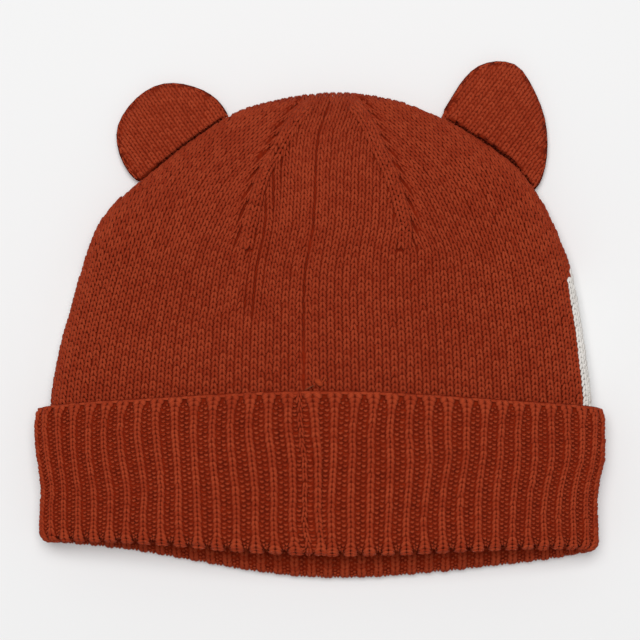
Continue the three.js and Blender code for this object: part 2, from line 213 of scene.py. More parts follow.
def solid_tree(name):
    """A frame node's surface, to be asked for its nearest place or for where a ray meets it."""
    corners = node_triangles(name).reshape(-1, 3)
    faces = [(i, i + 1, i + 2) for i in range(0, len(corners), 3)]
    return BVHTree.FromPolygons([Vector(c) for c in corners], faces)


solids = {name: solid_tree(name) for name in ("crown", *PANELS)}

# Where the right panel's cream begins on the back, as height and place across, in MM, and the
# part of the back that this holds for.
CREAM_EDGE = [(-40, 89.2), (-28.7, 88.3), (-15, 86.5), (-4.3, 84.6), (6, 83.4), (13, 82.6), (16, 83.4)]
CREAM_ABOVE = 8
CREAM_BESIDE = 80


def yarn_at(point):
    """The frame's node whose yarn a place of the crown is knitted in."""
    x, y, z = np.array(point) / MM
    heights, places = zip(*CREAM_EDGE)
    if z > CREAM_ABOVE and heights[0] < y < heights[-1] and x > CREAM_BESIDE:
        return "cream_panel_right" if x > np.interp(y, heights, places) else "crown"
    gaps = {name: tree.find_nearest(Vector(point))[3] for name, tree in solids.items()}
    return min(gaps, key=gaps.get)


def piece(name, mesh, material):
    """A visible piece of the hat, which rides on its one body."""
    made = bpy.data.objects.new(name, mesh)
    bpy.context.scene.collection.objects.link(made)
    mesh.materials.append(material)
    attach(made, "root")
    return made


# Yarn. All of the hat is one soft two-ply cotton yarn, matt, with a little fuzz. Each leg of a
# loop shows its twist, and its colour differs a little from leg to leg. The crests of its twist
# and its fuzz are painted lighter, as a painted highlight.
FUZZ_SCALE = 2600
PATCH_SCALE = 35


def yarn_group():
    """The yarn's colour and relief, from its own map, its leg's tone and two noises. The twist's
    crests and the fuzz are painted lighter, a painted highlight.
    """
    group = bpy.data.node_groups.new("twisted_yarn", "ShaderNodeTree")
    for name, kind, value in (
        ("Light", "NodeSocketColor", (1, 1, 1, 1)),
        ("Dark", "NodeSocketColor", (0, 0, 0, 1)),
        ("Plies", "NodeSocketFloat", 2.0),
        ("Patchiness", "NodeSocketFloat", 0.2),
    ):
        socket = group.interface.new_socket(name, in_out="INPUT", socket_type=kind)
        socket.default_value = value
    group.interface.new_socket("Color", in_out="OUTPUT", socket_type="NodeSocketColor")
    group.interface.new_socket("Height", in_out="OUTPUT", socket_type="NodeSocketFloat")
    nodes, links = group.nodes, group.links
    given = nodes.new("NodeGroupInput")
    out = nodes.new("NodeGroupOutput")

    def math_node(operation, a, b=0.0):
        node = nodes.new("ShaderNodeMath")
        node.operation = operation
        for socket, value in zip(node.inputs, (a, b)):
            if isinstance(value, (int, float)):
                socket.default_value = value
            else:
                links.new(value, socket)
        return node.outputs[0]

    uv = nodes.new("ShaderNodeUVMap")
    uv.uv_map = "yarn"
    apart = nodes.new("ShaderNodeSeparateXYZ")
    links.new(uv.outputs[0], apart.inputs[0])
    turn = math_node("ADD", math_node("MULTIPLY", apart.outputs[1], 2.0), apart.outputs[0])
    phase = math_node("MULTIPLY", math_node("MULTIPLY", turn, given.outputs["Plies"]), 2 * math.pi)
    ply = math_node("ABSOLUTE", math_node("SINE", phase))
    coordinates = nodes.new("ShaderNodeTexCoord")

    def noise(scale):
        node = nodes.new("ShaderNodeTexNoise")
        node.inputs["Scale"].default_value = scale
        node.inputs["Detail"].default_value = 3
        links.new(coordinates.outputs["Object"], node.inputs["Vector"])
        return node.outputs[0]

    fuzz = noise(FUZZ_SCALE)
    patches = noise(PATCH_SCALE)
    tone = nodes.new("ShaderNodeAttribute")
    tone.attribute_name = "tone"
    fuzz_raised = math_node("MULTIPLY", fuzz, 0.5)
    height = math_node("ADD", math_node("MULTIPLY", ply, 0.7), fuzz_raised)
    patch = math_node("SUBTRACT", patches, 0.5)
    patch = math_node("MULTIPLY", patch, given.outputs["Patchiness"])
    # painted highlight: the twist's crests and the fuzz are made lighter in colour; the leg's tone and
    # the patches are the yarn's own
    ply_highlight = math_node("MULTIPLY", ply, 0.35)
    tone_and_highlight = math_node("ADD", math_node("MULTIPLY", tone.outputs["Fac"], 0.4), ply_highlight)
    tone_and_highlight = math_node("ADD", math_node("ADD", tone_and_highlight, math_node("MULTIPLY", fuzz, 0.25)), patch)
    mix = nodes.new("ShaderNodeMix")
    mix.data_type = "RGBA"
    links.new(tone_and_highlight, mix.inputs["Factor"])
    links.new(given.outputs["Dark"], mix.inputs["A"])
    links.new(given.outputs["Light"], mix.inputs["B"])
    links.new(mix.outputs["Result"], out.inputs["Color"])
    links.new(height, out.inputs["Height"])
    return group


twisted_yarn = yarn_group()


def yarn_material(name, light, dark):
    """Matt cotton yarn between a light and a dark colour."""
    material = bpy.data.materials.new(name)
    material.use_nodes = True
    nodes, links = material.node_tree.nodes, material.node_tree.links
    shader = nodes["Principled BSDF"]
    shader.inputs["Roughness"].default_value = 0.93
    shader.inputs["Specular IOR Level"].default_value = 0.15
    shader.inputs["Sheen Weight"].default_value = 0.06
    shader.inputs["Sheen Roughness"].default_value = 0.5
    shader.inputs["Sheen Tint"].default_value = (*light, 1)
    yarn = nodes.new("ShaderNodeGroup")
    yarn.node_tree = twisted_yarn
    yarn.inputs["Light"].default_value = (*light, 1)
    yarn.inputs["Dark"].default_value = (*dark, 1)
    yarn.inputs["Patchiness"].default_value = 0.3
    relief_node = nodes.new("ShaderNodeBump")
    relief_node.inputs["Strength"].default_value = 0.4
    relief_node.inputs["Distance"].default_value = 0.2 * MM
    links.new(yarn.outputs["Color"], shader.inputs["Base Color"])
    links.new(yarn.outputs["Height"], relief_node.inputs["Height"])
    links.new(relief_node.outputs["Normal"], shader.inputs["Normal"])
    return material


rust_yarn = yarn_material("rust_yarn", (0.375, 0.052, 0.016), (0.21, 0.013, 0.0012))
cream_yarn = yarn_material("cream_yarn", (0.86, 0.83, 0.79), (0.62, 0.58, 0.54))


# Crown, its cloth behind the loops. It is the purl side of the same knit, in rust and in cream,
# and it is made as one thin sheet round the hat, parted by yarn and given its wall. Its colours
# are darker than the loops' yarn: painted shade for the gaps between the loops.
def back_cloth_material(name, colour, shade):
    """The purl side of the knit: rows of small bumps, with painted shade, the darker colour, in the
    hollows between them.
    """
    material = bpy.data.materials.new(name)
    material.use_nodes = True
    nodes, links = material.node_tree.nodes, material.node_tree.links
    shader = nodes["Principled BSDF"]
    shader.inputs["Roughness"].default_value = 0.95
    shader.inputs["Specular IOR Level"].default_value = 0.1
    coordinates = nodes.new("ShaderNodeTexCoord")
    bumps = nodes.new("ShaderNodeTexVoronoi")
    bumps.inputs["Scale"].default_value = 520
    links.new(coordinates.outputs["Object"], bumps.inputs["Vector"])
    # painted shade: the colour darkens towards the hollows between the bumps
    ramp = nodes.new("ShaderNodeValToRGB")
    ramp.color_ramp.elements[0].color = (*colour, 1)
    ramp.color_ramp.elements[1].color = (*shade, 1)
    links.new(bumps.outputs["Distance"], ramp.inputs["Fac"])
    links.new(ramp.outputs["Color"], shader.inputs["Base Color"])
    raised = nodes.new("ShaderNodeBump")
    raised.invert = True
    raised.inputs["Strength"].default_value = 0.8
    raised.inputs["Distance"].default_value = 0.6 * MM
    links.new(bumps.outputs["Distance"], raised.inputs["Height"])
    links.new(raised.outputs["Normal"], shader.inputs["Normal"])
    return material


# painted shade: the cloth is coloured darker than the yarn, for the shadow in the gaps between loops
rust_back_shaded = back_cloth_material("rust_back_shaded", (0.24, 0.017, 0.002), (0.13, 0.008, 0.001))
cream_back_shaded = back_cloth_material("cream_back_shaded", (0.6, 0.56, 0.52), (0.4, 0.37, 0.34))

WALL_COLUMNS = 190
WALL_LEVELS = 88
CLOTH_DEPTH = 0.9 * MM  # of the cloth under the outer surface; the loops' backs just sink in
THINNING = 14 * MM  # below the crown's top, over which the wall gets thinner
crown_corners = node_triangles("crown").reshape(-1, 3)
BACK_ABOVE = 0.7  # of the crown's height, above which only its back lies
upper = crown_corners[crown_corners[:, 2] > BACK_ABOVE * crown_high[2]]
BACK_FOOT = upper[:, 1].min()  # the wall begins higher on the back than on the front


def crown_foot(turn):
    """The height at which the crown's wall begins, inside the cuff."""
    return CROWN_FOOT + (BACK_FOOT - CROWN_FOOT) * (1 + math.sin(turn)) / 2


def crown_sheet():
    """The whole crown's cloth without its thickness, from inside the cuff to the closed top."""
    made = bmesh.new()
    bmesh.ops.create_grid(made, x_segments=WALL_COLUMNS, y_segments=WALL_LEVELS, size=1)
    for vertex in made.verts:
        turn = math.pi * (vertex.co.x + 1)
        rise = math.sin(math.pi / 4 * (vertex.co.y + 1))
        foot = crown_foot(turn)
        y = foot + (CROWN_TOP - foot) * rise
        middle, half, fold, _, _ = section(y)
        x = middle + half * math.cos(turn)
        up = math.sin(turn)
        height = back_height if up >= 0 else front_height
        z = float(height(np.array(x), np.array(y))) if rise < 1 else fold
        if rise < 1:
            z -= math.copysign(CLOTH_DEPTH * min(1, 3 * abs(up)), up)
        x = middle + (half - CLOTH_DEPTH) * math.cos(turn)
        vertex.co = (x, min(y, CROWN_TOP - 1.3 * CLOTH_DEPTH), z)
    bmesh.ops.remove_doubles(made, verts=made.verts, dist=0.02 * MM)
    bmesh.ops.recalc_face_normals(made, faces=made.faces)
    return made


whole_sheet = crown_sheet()
for node, material, slot in (
    ("crown", rust_back_shaded, "plain_knit"),
    ("cream_panel_left", cream_back_shaded, "cream_knit"),
    ("cream_panel_right", cream_back_shaded, "cream_knit"),
):
    part = whole_sheet.copy()
    others = [face for face in part.faces if yarn_at(face.calc_center_median()) != node]
    bmesh.ops.delete(part, geom=others, context="FACES")
    mesh = bpy.data.meshes.new(node + "_cloth")
    part.to_mesh(mesh)
    part.free()
    mesh.shade_smooth()
    cloth = piece(node + "_cloth", mesh, material)
    thinner = cloth.vertex_groups.new(name="thinner_at_top")
    for vertex in mesh.vertices:
        share = min(1, max(0.1, (CROWN_TOP - vertex.co.y) / THINNING))
        thinner.add([vertex.index], share, "REPLACE")
    thick = cloth.modifiers.new("wall", "SOLIDIFY")
    thick.thickness = WALL
    thick.offset = -1
    thick.vertex_group = "thinner_at_top"
    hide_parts(node)
whole_sheet.free()


# Loops. Plain knit is columns of loops, each loop two legs that close upwards to a point. A
# loop's top lies over the feet of the one above. One loop is shaped here and laid all over.
def strand(curve, wide, thick, cell, segments=5, rings=4):
    """A bead of yarn in a cell of cloth. The curve gives its middle line for -1 to 1: x from -1 to
    1 across the cell, y from 0 to 1 up it and z off the cloth. The rest is in MM."""
    made = bmesh.new()
    made.loops.layers.uv.new("yarn")
    bmesh.ops.create_uvsphere(made, u_segments=segments, v_segments=rings, radius=1, calc_uvs=True)
    scale = np.array([cell[0] / 2, cell[1]]) / MM
    for vertex in made.verts:
        along = vertex.co.z
        swell = math.sqrt(max(0, 1 - along**4)) / max(1e-6, math.hypot(vertex.co.x, vertex.co.y))
        middle = np.array(curve(along))
        heading = (np.array(curve(along + 0.01)) - np.array(curve(along - 0.01)))[:2] * scale
        heading /= np.linalg.norm(heading)
        sideways = np.array([heading[1], -heading[0]]) * swell * wide * vertex.co.x / scale
        vertex.co = (*(middle[:2] + sideways), middle[2] + thick * swell * vertex.co.y)
    bmesh.ops.recalc_face_normals(made, faces=made.faces)
    return shape_arrays(made)


def shape_arrays(made):
    """The points, face corners, face sizes and yarn map of a small shape, ready to be repeated."""
    uv = made.loops.layers.uv["yarn"]
    made.verts.index_update()
    points = np.array([vertex.co[:] for vertex in made.verts])
    corners = np.array([loop.vert.index for face in made.faces for loop in face.loops])
    sizes = np.array([len(face.loops) for face in made.faces])
    yarn = np.array([loop[uv].uv[:] for face in made.faces for loop in face.loops])
    made.free()
    return points, corners, sizes, yarn, yarn


def both(one):
    """A shape with its mirror image beside it."""
    points, corners, sizes, yarn, bake = one
    starts = np.concatenate([[0], np.cumsum(sizes)[:-1]])
    turned = np.concatenate([np.arange(i, i + n)[::-1] for i, n in zip(starts, sizes)])
    return (
        np.concatenate([points, points * (-1, 1, 1)]),
        np.concatenate([corners, corners[turned] + len(points)]),
        np.concatenate([sizes, sizes]),
        np.concatenate([yarn, yarn[turned]]),
        np.concatenate([bake * (0.5, 1), bake[turned] * (0.5, 1) + (0.5, 0)]),
    )


def loop_shape(cell, spread, lean, tilt, wide, thick):
    """Both legs of a loop of plain knit. Spread and lean are shares of half its width."""
    def leg(s):
        return spread + lean * s, 0.5 + 0.72 * s, 0.12 * (1 - s * s) - tilt * s

    return both(strand(leg, wide, thick, cell))


draw = np.random.default_rng(7)
LOOP_WOBBLE = 0.06  # how unevenly the loops stand out, in MM


def lay(name, shape, cells, material, jitter=0.07):
    """A shape repeated in many cells of cloth as one mesh. A cell is its four corners: low left,
    low right, high left and high right, seen from outside."""
    points, corners, sizes, yarn, bake = shape
    cells = np.asarray(cells)
    count = len(cells)
    ll, lr, hl, hr = (cells[:, k, None, :] for k in range(4))
    across = (points[None, :, 0, None] + 1) / 2
    up = points[None, :, 1, None]
    place = (1 - up) * ((1 - across) * ll + across * lr) + up * ((1 - across) * hl + across * hr)
    outward = np.cross(cells[:, 1] - cells[:, 0] + cells[:, 3] - cells[:, 2],
                       cells[:, 2] - cells[:, 0] + cells[:, 3] - cells[:, 1])
    outward /= np.linalg.norm(outward, axis=1)[:, None] + 1e-12
    wobble = draw.normal(0, LOOP_WOBBLE, (count, 1, 1))
    off = (points[None, :, 2, None] + wobble) * MM - LOOP_RELIEF
    place = place + draw.normal(0, jitter * MM, (count, 1, 3))
    place = place + outward[:, None, :] * off
    place[..., 2] = np.maximum(place[..., 2], 0.05 * MM)  # pressed flat by the table
    mesh = bpy.data.meshes.new(name)
    mesh.vertices.add(count * len(points))
    mesh.loops.add(count * len(corners))
    mesh.polygons.add(count * len(sizes))
    mesh.vertices.foreach_set("co", place.ravel())
    shift = np.arange(count)[:, None]
    mesh.loops.foreach_set("vertex_index", (corners[None] + shift * len(points)).ravel())
    starts = np.concatenate([[0], np.cumsum(sizes)[:-1]])
    mesh.polygons.foreach_set("loop_start", (starts[None] + shift * len(corners)).ravel())
    mesh.update(calc_edges=True)
    side = math.ceil(math.sqrt(count))
    spot = np.stack([np.arange(count) % side, np.arange(count) // side], 1)
    layer = mesh.uv_layers.new(name="yarn")
    layer.uv.foreach_set("vector", np.tile(yarn, (count, 1)).ravel())
    baked = mesh.uv_layers.new(name="OFBake")
    spots = (spot[:, None, :] + 0.05 + 0.9 * bake[None]) / side
    baked.uv.foreach_set("vector", spots.ravel())
    tone = mesh.attributes.new("tone", "FLOAT", "POINT")
    tone.data.foreach_set("value", np.repeat(draw.uniform(0, 1, count), len(points)))
    mesh.shade_smooth()
    return piece(name, mesh, material)


WALE = 2.36 * MM  # width of a loop
COURSE = 1.82 * MM  # height of a loop
FOLD_STEP = 1 * MM  # along a side fold, where its turn is measured
TURN_SMOOTHING = 31
START = crown_form["y"][0] - 6 * MM  # of the first course, inside the cuff
HIGH_COURSE = COURSE * 0.96  # height of a loop above the decrease lines' start
EDGE_POINTS = 900  # along a side fold
SPINE_POINTS = 400  # along the middle line
UPRIGHT_POINTS = 200  # along a middle column, above the decrease lines' start
ROW_POINTS = 90  # of a row, from the side fold to the decrease line
INNER_POINTS = 40  # of a row, from the decrease line to the middle line
LAST_FITS = 0.85  # of a column's width, by which a row's last loop may pass the fold
BLEND_COURSES = 10  # over which the rows take up their rise
OUT_POINTS = 1200  # of a row that runs out from a decrease line
FIRST_OUT = 120  # of them, by which the row is past the line

# How a side panel's cloth is drawn askew above the start of its decrease line: the lean of its
# columns and the rise of its rows towards the fold, in degrees, by height in MM.
PANEL_SKEW = [
    {"y": 0, "lean": 13, "rise": 2},
    {"y": 20, "lean": 18, "rise": 3},
    {"y": 37, "lean": 28, "rise": 4},
    {"y": 50, "lean": 41, "rise": 10},
    {"y": 62, "lean": 45, "rise": 15},
    {"y": 78, "lean": 52, "rise": 18},
]


def panel_skew(key, y):
    degrees = np.interp(y, [row["y"] * MM for row in PANEL_SKEW], [row[key] for row in PANEL_SKEW])
    return np.tan(np.radians(degrees))


STRETCH = 0.55  # of a slope's rise that counts; the cloth is stretched over the rest


def running(points):
    """Lengths along a line of points from its start, as the cloth counts them."""
    paces = np.diff(points, axis=0) * ([1, 1, STRETCH][: points.shape[1]])
    return np.concatenate([[0], np.cumsum(np.linalg.norm(paces, axis=1))])


def at_length(points, length, wanted):
    """The places at some lengths along a line of points."""
    return np.stack([np.interp(wanted, length, points[:, k]) for k in range(points.shape[1])], -1)


def side_lines(side, dart, height, middle_line):
    """The lines between the columns from one side fold to the middle line, row by row. Up to the
    decrease line's start a row runs to the middle, and above it to the decrease line."""
    share = np.linspace(0, 1, EDGE_POINTS)
    y = START + (CROWN_TOP - START) * np.sin(share * np.pi / 2)
    middle, half, fold, _, _ = section(y)
    edge = np.stack([middle + side * half, y, fold], 1)
    edge_length = running(edge)
    steps = np.arange(0, edge_length[-1], FOLD_STEP)
    even = at_length(edge, edge_length, steps)
    heading = np.gradient(even[:, :2], axis=0)
    angle = smoothed(np.unwrap(np.arctan2(heading[:, 1], heading[:, 0])), TURN_SMOOTHING)

    heights = np.linspace(START, CROWN_TOP - 0.5 * MM, SPINE_POINTS)
    spine = np.stack([middle_line(heights), heights, height(middle_line(heights), heights)], 1)
    spine_length = running(spine)
    last = int(np.interp(DART_START, heights, spine_length) / COURSE)
    level_last = float(np.interp(last * COURSE, spine_length, heights))

    def low_row(course):
        """From the fold inwards to the decrease line and on to the middle line."""
        t = course * COURSE
        start = at_length(edge, edge_length, t)[:2]
        turned = np.interp(t, steps, angle)
        inward = -side * np.array([math.sin(turned), -math.cos(turned)])
        level = np.interp(t, spine_length, heights)
        stop = np.array([seam_line(dart, level), level])
        reach = np.linalg.norm(stop - start) / 3
        u = (np.linspace(0, 1, ROW_POINTS) ** 2)[:, None]
        first, second = start + inward * reach, stop + (side * reach, 0)
        path = (1 - u) ** 3 * start + 3 * u * (1 - u) ** 2 * first
        path = path + 3 * u**2 * (1 - u) * second + u**3 * stop
        target = np.array([float(middle_line(level)), level])
        on = np.linspace(0, 1, INNER_POINTS)[1:, None]
        path = np.concatenate([path, stop + on * (target - stop)])
        z = height(path[:, 0], path[:, 1])
        z[0] = section(path[0, 1])[2]
        return np.concatenate([path, z[:, None]], 1), ROW_POINTS - 1

    def high_row(level, rise, blend):
        """From past the decrease line outwards to the fold. The first such rows still follow the
        last low row."""
        out = np.linspace(-12 * MM, 110 * MM, OUT_POINTS)
        x = seam_line(dart, level) + side * out
        y = level + blend * rise * out + (1 - blend) * np.interp(out, low_out, low_rise)
        middle, half, fold, _, _ = section(np.minimum(y, CROWN_TOP))
        within = (np.abs(x - middle) < half) & (y < CROWN_TOP)
        ends = OUT_POINTS
        if not within[FIRST_OUT:].all():
            ends = FIRST_OUT + int(within[FIRST_OUT:].argmin())
        x, y, out = x[:ends], y[:ends], out[:ends]
        if ends < FIRST_OUT + 2:
            return None, None
        path = np.stack([x, y, height(x, y)], 1)
        path[-1, 2] = fold[ends - 1]
        along = running(path)
        return path, along - np.interp(0, out, along)

    end, at_dart = low_row(last)
    end_length = running(end)
    columns = int(round(end_length[-1] / WALE))
    pitch = end_length[-1] / columns
    # Lengths outwards from the decrease line, column by column, in the last low row.
    from_dart = end_length[at_dart] - np.arange(columns + 1) * pitch
    low_out = side * (end[at_dart::-1, 0] - seam_line(dart, level_last))
    low_rise = end[at_dart::-1, 1] - level_last

    levels = [level_last]
    while levels[-1] < CROWN_TOP - 1 * MM:
        y = levels[-1]
        x = seam_line(dart, y)
        slope = (height(x, y + 0.5 * MM) - height(x, y - 0.5 * MM)) / MM
        levels.append(y + HIGH_COURSE / math.hypot(1, STRETCH * float(slope)))
    courses = last + len(levels) - 1
    lines = np.full((columns + 1, courses + 1, 3), np.nan)
    for course in range(last + 1):
        path, _ = low_row(course)
        along = running(path)
        lines[:, course] = at_length(path, along, np.arange(columns + 1) * (along[-1] / columns))
    drawn = 0.0
    for course in range(last + 1, courses + 1):
        level, lower = levels[course - last], levels[course - last - 1]
        drawn += (level - lower) * float(panel_skew("lean", (level + lower) / 2))
        blend = min(1.0, (course - last) / BLEND_COURSES)
        path, along = high_row(level, float(panel_skew("rise", level)), blend)
        if path is None:
            break
        moved = abs(seam_line(dart, level_last)) - abs(seam_line(dart, level))
        wanted = from_dart - drawn + moved
        fits = (wanted > along[0]) & (wanted < along[-1] + LAST_FITS * pitch)
        lines[fits, course] = at_length(path, along, np.minimum(wanted[fits], along[-1]))
    upright = np.full_like(lines, np.nan)
    for column in range(columns + 1):
        base = lines[column, last]
        offset = base[0] - middle_line(base[1])
        y = np.linspace(base[1], CROWN_TOP, UPRIGHT_POINTS)
        path = np.stack([middle_line(y) + offset, y, height(middle_line(y) + offset, y)], 1)
        along = running(path)
        upright[column, last - 1] = lines[column, last - 1]
        for course in range(last, courses + 1):
            up = (course - last) * COURSE
            if up < along[-1]:
                upright[column, course] = at_length(path, along, up)
    return lines, upright, last


SEAM_TAKES = 1.7 * WALE  # width that the loops along a decrease line take
SIDE_REACH = 0.8 * WALE  # how far the side panel's loops run in under them
DARTS_MEET = 9 * MM  # below the crown's top, up to which the middle's loops make room for them
NARROWEST = 0.25 * MM  # cell that is still laid


def cells_between(lines, upright, last, side, outside, darts):
    """The cells of a side's cloth, each kept on its own side of the decrease line."""
    cells = []
    columns, courses = lines.shape[0] - 1, lines.shape[1] - 1
    for source, central in ((lines, False), (upright, True)):
        halfway = (source[:, :-1] + source[:, 1:]) / 2
        for column in range(columns):
            rows = halfway if column % 2 else source
            first = last - column % 2
            for course in range(first if central else 0, rows.shape[1] - 1):
                cell = rows[[column, column + 1, column, column + 1],
                            [course, course, course + 1, course + 1]]
                if np.isnan(cell).any() or np.ptp(cell[:, :2], axis=0).min() < NARROWEST:
                    continue
                x, y, _ = cell.mean(0)
                slope = (darts(y + MM) - darts(y - MM)) / (2 * MM)
                inside = -side * (x - darts(y)) / math.hypot(1, slope)
                near = inside < SEAM_TAKES and y < CROWN_TOP - DARTS_MEET
                left_out = near or inside < 0 if central else inside > SIDE_REACH
                if course >= first and left_out:
                    continue
                if not inside_outline(cell):
                    continue
                if (side > 0) == outside:
                    cell = cell[[1, 0, 3, 2]]
                cells.append(cell)
    return cells


DART_LIFT = 0.8 * MM  # the loops along a decrease line lie over the side panel's
DART_RAILS = (-0.1, 0.95, 1.95)  # the columns' edges, in loops' widths from the line inwards


def dart_cells(dart, side, height, outside):
    """Two columns of loops that run along a decrease line, on its inner side."""
    y = np.linspace(DART_START - 1 * MM, CROWN_TOP - 2 * MM, 300)
    x = seam_line(dart, y)
    slope = np.gradient(x, y)
    sideways = np.stack([np.ones_like(y), -slope], 1) / np.hypot(1, slope)[:, None]
    rails = []
    for column in DART_RAILS:
        plan = np.stack([x, y], 1) - side * sideways * column * WALE
        z = height(plan[:, 0], plan[:, 1]) + (DART_LIFT if outside else -DART_LIFT)
        rails.append(np.concatenate([plan, z[:, None]], 1))
    length = running(rails[1])
    marks = np.arange(0, length[-1], COURSE)
    rails = [at_length(rail, length, marks) for rail in rails]
    cells = []
    for outer, inner in zip(rails[:-1], rails[1:]):
        for k in range(len(marks) - 1):
            cell = np.array([outer[k], inner[k], outer[k + 1], inner[k + 1]])
            if (side > 0) == outside:
                cell = cell[[1, 0, 3, 2]]
            if inside_outline(cell):
                cells.append(cell)
    return cells


def inside_outline(cell):
    """Whether a cell's middle lies within the crown's outline."""
    x, y, _ = cell.mean(0)
    if y > CROWN_TOP - 0.2 * MM:
        return False
    middle, half, _, _, _ = section(y)
    return abs(x - middle) <= half


plain_loop = loop_shape((WALE, COURSE), spread=0.48, lean=-0.3, tilt=-0.24, wide=0.52, thick=0.46)
panel_cells = {name: [] for name in PANELS}
faces_of_hat = (("back", back_height, True, lambda y: seam_line("seam", y)),
                ("front", front_height, False, lambda y: 0 * y))
for face, height, outside, middle_line in faces_of_hat:
    for side, dart in ((-1, "left"), (1, "right")):
        lines, upright, last = side_lines(side, dart, height, middle_line)
        cells = cells_between(lines, upright, last, side, outside, lambda y: seam_line(dart, y))
        cells += dart_cells(dart, side, height, outside)
        by_yarn = {name: [] for name in solids}
        for cell in cells:
            by_yarn[yarn_at(cell.mean(0))].append(cell)
        lay(f"crown_loops_{face}_{dart}", plain_loop, by_yarn["crown"], rust_yarn)
        for name in PANELS:
            panel_cells[name] += by_yarn[name]

# Loops over the crown's top, from the back to the front.
levels = np.linspace(40 * MM, CROWN_TOP, 300)
middle, half, _, _, _ = section(levels)
outline_x = np.concatenate([middle - half, (middle + half)[::-1]])
outline_y = np.concatenate([levels, levels[::-1]])
TOP_REACH = 30 * MM  # to either side of the middle
TOP_DEPTH = 2.2 * MM  # down from the top on either face
x = np.arange(-TOP_REACH, TOP_REACH, WALE)
y = np.interp(x, outline_x, outline_y)
fold = section(y)[2]
over = np.stack([x, y - TOP_DEPTH, back_height(x, y - TOP_DEPTH)], 1)
edge = np.stack([x, y + 0.2 * MM, fold], 1)
below = np.stack([x, y - TOP_DEPTH, front_height(x, y - TOP_DEPTH)], 1)
cells = [[low[k], low[k + 1], high[k], high[k + 1]]
         for low, high in ((over, edge), (edge, below)) for k in range(len(x) - 1)]
lay("crown_loops_top", plain_loop, cells, rust_yarn)

for name in PANELS:
    lay(name + "_loops", plain_loop, panel_cells[name], cream_yarn)


# Cuff. The band is cotton knitted in single rib and turned up outside itself, so its loops turn
# over at the rim. Its form is set out in sections across the hat, in MM, as in the frame.
BODY_ROWS = [
    {"y": -86.6, "left": 88.9, "right": 88.5, "top": 22.1, "edge": 12.2, "under": 4.2},
    {"y": -76.6, "left": 89.5, "right": 88.9, "top": 23.5, "edge": 12.2, "under": 4.2},
    {"y": -64.6, "left": 89.1, "right": 88.1, "top": 25.8, "edge": 12.2, "under": 4.2},
    {"y": -55.6, "left": 88.5, "right": 88.3, "top": 27.5, "edge": 12.2, "under": 4.2},
    {"y": -44.6, "left": 90.4, "right": 90.8, "top": 29.2, "edge": 12.2, "under": 4.2},
    {"y": -35.6, "left": 91.0, "right": 90.6, "top": 30.4, "edge": 12.0, "under": 4.2},
    {"y": -26.6, "left": 90.0, "right": 90.8, "top": 31.6, "edge": 11.3, "under": 4.2},
    {"y": -13.3, "left": 87.7, "right": 89.2, "top": 33.3, "edge": 9.7, "under": 1.3},
]
BODY_SWAY = 2.35  # of the back's middle, to the right
BACK_CURVE = 0.92  # under 1 makes the back fuller towards its folds
EDGE_ROWS = [  # every 45 degrees round the hat, from the right fold over the back
    {"rim": -76.9, "free": -29.1},
    {"rim": -75.6, "free": -25.8},
    {"rim": -77.3, "free": -22.2},
    {"rim": -73.5, "free": -25.3},
    {"rim": -73.9, "free": -29.1},
    {"rim": -77.2, "free": -30.6},
    {"rim": -86.4, "free": -33.6},
    {"rim": -82.0, "free": -31.6},
]
RIM_RADIUS = 3.6  # of the turn at the rim
LAYERS_MIDDLE = 0.6  # of the two layers off the body
RIBS = 70
CROWN_HOLD = 6.3  # how far the crown reaches down inside the cuff
levels = np.arange(-100, 0, 1.0)
body_rows = {
    key: smoothed(np.interp(levels, [r["y"] for r in BODY_ROWS], [r[key] for r in BODY_ROWS]), 7)
    for key in ("left", "right", "top", "edge", "under")
}


def edge_at(key, turn):
    """A height of the cuff's rim or free edge, on a smooth curve round the hat."""
    place = np.asarray(turn) / 45
    start = np.floor(place).astype(int)
    part = place - start
    values = np.array([row[key] for row in EDGE_ROWS])
    a, b, c, d = (values[(start + k) % 8] for k in (-1, 0, 1, 2))
    bend = 2 * b + (c - a) * part + (2 * a - 5 * b + 4 * c - d) * part**2
    return (bend + (3 * b - a - 3 * c + d) * part**3) / 2


def body_point(turn, y):
    """A place of the body's surface under the cuff, by its turn in degrees and its height."""
    across, up = np.cos(np.radians(turn)), np.sin(np.radians(turn))
    at = {key: np.interp(y, levels, body_rows[key]) for key in body_rows}
    x = (at["right"] - at["left"]) / 2 + (at["right"] + at["left"]) / 2 * across
    x = x + BODY_SWAY * np.maximum(up, 0) ** 2
    over = at["edge"] + (at["top"] - at["edge"]) * np.maximum(up, 0) ** BACK_CURVE
    bend = np.sqrt(np.maximum(0, 1 - np.abs(across) ** FRONT_SQUARENESS))
    below = at["edge"] - (at["edge"] - at["under"]) * np.minimum(1, FRONT_PRESS * bend)
    return np.stack([x, y + 0 * x, np.where(up >= 0, over, below)], -1)


def cuff_skin(turn, y, off):
    """A place at a distance off the body, in metres."""
    turn, y, off = np.broadcast_arrays(*(np.asarray(v, float) for v in (turn, y, off)))
    rise = body_point(turn, y + 0.5) - body_point(turn, y - 0.5)
    round_it = body_point(turn + 0.7, y) - body_point(turn - 0.7, y)
    normal = np.cross(rise, round_it)
    normal /= np.linalg.norm(normal, axis=-1, keepdims=True)
    place = body_point(turn, y) + normal * off[..., None]
    return np.stack([place[..., 0], place[..., 1], np.maximum(place[..., 2], 0.1)], -1) * MM


